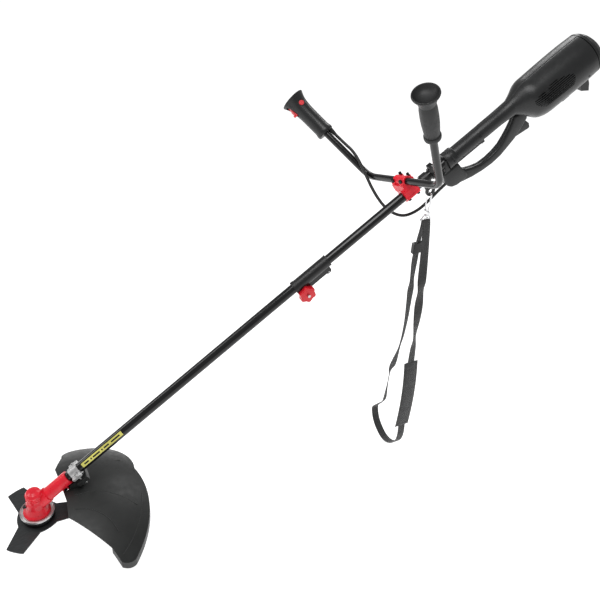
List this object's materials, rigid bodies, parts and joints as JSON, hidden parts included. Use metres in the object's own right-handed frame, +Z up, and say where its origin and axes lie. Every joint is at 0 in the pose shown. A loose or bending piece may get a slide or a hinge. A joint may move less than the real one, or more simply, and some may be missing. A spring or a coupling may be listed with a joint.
{
  "type": "electric brushcutter",
  "caption": "Electric brushcutter with a split tube shaft, bevel-gear head, toothed metal blade and guard, handlebar with a switch grip, rear motor housing and shoulder harness.",
  "frame": {"origin": "on the main tube's axis, under the middle of the handlebar clamp", "axes": "+X horizontal towards the motor, along the tool seen from above; +Y to the operator's right, the switch-grip side; +Z up, along the blade's spindle"},
  "size_m": [1.6891, 0.6397, 1.3058],
  "materials": {
    "black_tube": "gloss black enamel",
    "red_casting": "gloss red enamel on a die casting",
    "blade_steel": "dark hardened steel",
    "bright_steel": "zinc-plated steel",
    "dark_steel": "blackened steel",
    "bearing_steel": "ground steel",
    "aluminium": "cast, satin",
    "bracket_metal": "cast, satin silver",
    "guard_plastic": "moulded black, slightly glossy",
    "housing_plastic": "fine-textured black-grey plastic",
    "grip_rubber": "soft black grip rubber",
    "red_plastic": "gloss red plastic",
    "black_plastic": "black moulded plastic",
    "cable_rubber": "black rubber sheath",
    "bush": "natural nylon",
    "bronze": "brass holders and carbon brushes",
    "iron": "laminated iron and enamelled copper",
    "chrome": "nickel-plated",
    "webbing": "black woven polypropylene webbing",
    "pad": "black padded fabric"
  },
  "bodies": {
    "tool": {"upper_tube": "black_tube", "upper_tube_bushes": "bush", "coupling_sleeve": "black_plastic", "coupling_fasteners": "bright_steel", "clamp_saddle": "red_casting", "clamp_tube_cap": "red_casting", "clamp_bar_cap": "red_casting", "clamp_bolts": "dark_steel", "hanger_eye": "black_plastic", "tube_collar": "black_plastic", "motor_housing_left": "housing_plastic", "motor_housing_right": "housing_plastic", "rear_cap": "housing_plastic", "mains_inlet": "housing_plastic", "field_stator": "iron", "motor_bearings": "bearing_steel", "motor_brackets": "aluminium", "brush_gear": "bronze", "control_cable": "cable_rubber"},
    "cutting_head": {"lower_tube": "black_tube", "lower_tube_bushes": "bush", "gearbox_case": "red_casting", "gearbox_bearings": "bearing_steel", "gearbox_fasteners": "dark_steel", "deflector_ring": "aluminium", "guard": "guard_plastic", "guard_bracket_cap": "bracket_metal", "guard_bracket_base": "bracket_metal", "guard_fasteners": "bright_steel"},
    "rotor": {"armature": "iron", "cooling_fan": "black_plastic", "upper_drive_shaft": "bearing_steel", "shaft_socket": "bearing_steel"},
    "lower_drive": {"lower_drive_shaft": "bearing_steel", "bevel_pinion": "bearing_steel"},
    "cutter": {"spindle": "bearing_steel", "bevel_gear": "bearing_steel", "drive_flange": "dark_steel", "blade": "blade_steel", "blade_washer": "bright_steel", "blade_nut": "bright_steel"},
    "coupling_knob": {"coupling_knob": "red_plastic"},
    "lock_lever": {"lock_lever": "black_plastic"},
    "bars": {"handlebar": "black_tube", "plain_grip": "grip_rubber", "switch_grip_front_shell": "housing_plastic", "switch_grip_back_shell": "housing_plastic", "grip_switch": "black_plastic", "cable_relief": "cable_rubber"},
    "trigger": {"trigger": "red_plastic"},
    "lock_button": {"lock_button": "red_plastic"},
    "rear_trigger": {"rear_trigger": "black_plastic"},
    "collar_wing": {"collar_wing_bolt": "black_plastic"},
    "hook": {"snap_hook": "chrome"},
    "hook_gate": {"hook_gate": "chrome"},
    "harness": {"strap_ring": "chrome", "front_webbing": "webbing", "rear_webbing": "webbing", "shoulder_pad": "pad", "strap_slider": "black_plastic"}
  },
  "joints": [
    {"name": "lower_tube_slide", "type": "slide", "parent": "tool", "child": "cutting_head", "axis": [-0.829, 0, -0.5592], "range_m": [0, 0.07]},
    {"name": "motor_spin", "type": "hinge", "parent": "tool", "child": "rotor", "pos_m": [0, 0, 0], "axis": [0.829, 0, 0.5592], "continuous": true},
    {"name": "lower_shaft_spin", "type": "hinge", "parent": "cutting_head", "child": "lower_drive", "pos_m": [-0.58033, 0, -0.39143], "axis": [0.829, 0, 0.5592], "continuous": true},
    {"name": "spindle_spin", "type": "hinge", "parent": "cutting_head", "child": "cutter", "pos_m": [-1.0479, 0, -0.70682], "axis": [0, 0, 1], "continuous": true},
    {"name": "knob_turn", "type": "hinge", "parent": "tool", "child": "coupling_knob", "pos_m": [-0.29716, -0.025, -0.23542], "axis": [0, 1, 0], "range_deg": [0, 720]},
    {"name": "lever_press", "type": "hinge", "parent": "tool", "child": "lock_lever", "pos_m": [-0.2303, 0, -0.1879], "axis": [0, -1, 0], "range_deg": [0, 12], "stiffness_Nm_per_rad": 0.3, "springref_deg": -11.46},
    {"name": "bar_tilt", "type": "hinge", "parent": "tool", "child": "bars", "pos_m": [-0.02057, 0.00951, 0.0305], "axis": [-0.0134, 0.9519, -0.306], "range_deg": [-15, 15], "deforming": ["control_cable"]},
    {"name": "trigger_pull", "type": "hinge", "parent": "bars", "child": "trigger", "pos_m": [-0.17703, 0.35409, 0.13349], "axis": [-0.2507, -0.7112, 0.6568], "range_deg": [0, 8], "stiffness_Nm_per_rad": 0.2, "springref_deg": -8.59},
    {"name": "button_press", "type": "slide", "parent": "bars", "child": "lock_button", "axis": [0.2507, 0.7112, -0.6568], "range_m": [0, 0.003], "stiffness_N_per_m": 400, "springref_m": -0.002},
    {"name": "rear_trigger_pull", "type": "hinge", "parent": "tool", "child": "rear_trigger", "pos_m": [0.151, 0, 0.08014], "axis": [0, -1, 0], "range_deg": [0, 3], "stiffness_Nm_per_rad": 2, "springref_deg": -5.73},
    {"name": "wing_turn", "type": "hinge", "parent": "tool", "child": "collar_wing", "pos_m": [0.05541, -0.015, 0.0627], "axis": [0, 1, 0], "range_deg": [0, 720]},
    {"name": "hook_swing", "type": "hinge", "parent": "tool", "child": "hook", "pos_m": [0.06883, 0, -0.00906], "axis": [0, 1, 0], "range_deg": [-30, 30]},
    {"name": "gate_open", "type": "hinge", "parent": "hook", "child": "hook_gate", "pos_m": [0.06883, 0.0074, -0.07106], "axis": [1, 0, 0], "range_deg": [0, 15], "stiffness_Nm_per_rad": 0.02, "springref_deg": -17.19},
    {"name": "strap_swing", "type": "hinge", "parent": "hook", "child": "harness", "pos_m": [0.06883, 0, -0.08006], "axis": [1, 0, 0], "range_deg": [-25, 25]}
  ],
  "couplings": [
    {"joint": "lower_shaft_spin", "follows": "motor_spin", "ratio": 1},
    {"joint": "spindle_spin", "follows": "motor_spin", "ratio": -0.68421}
  ]
}
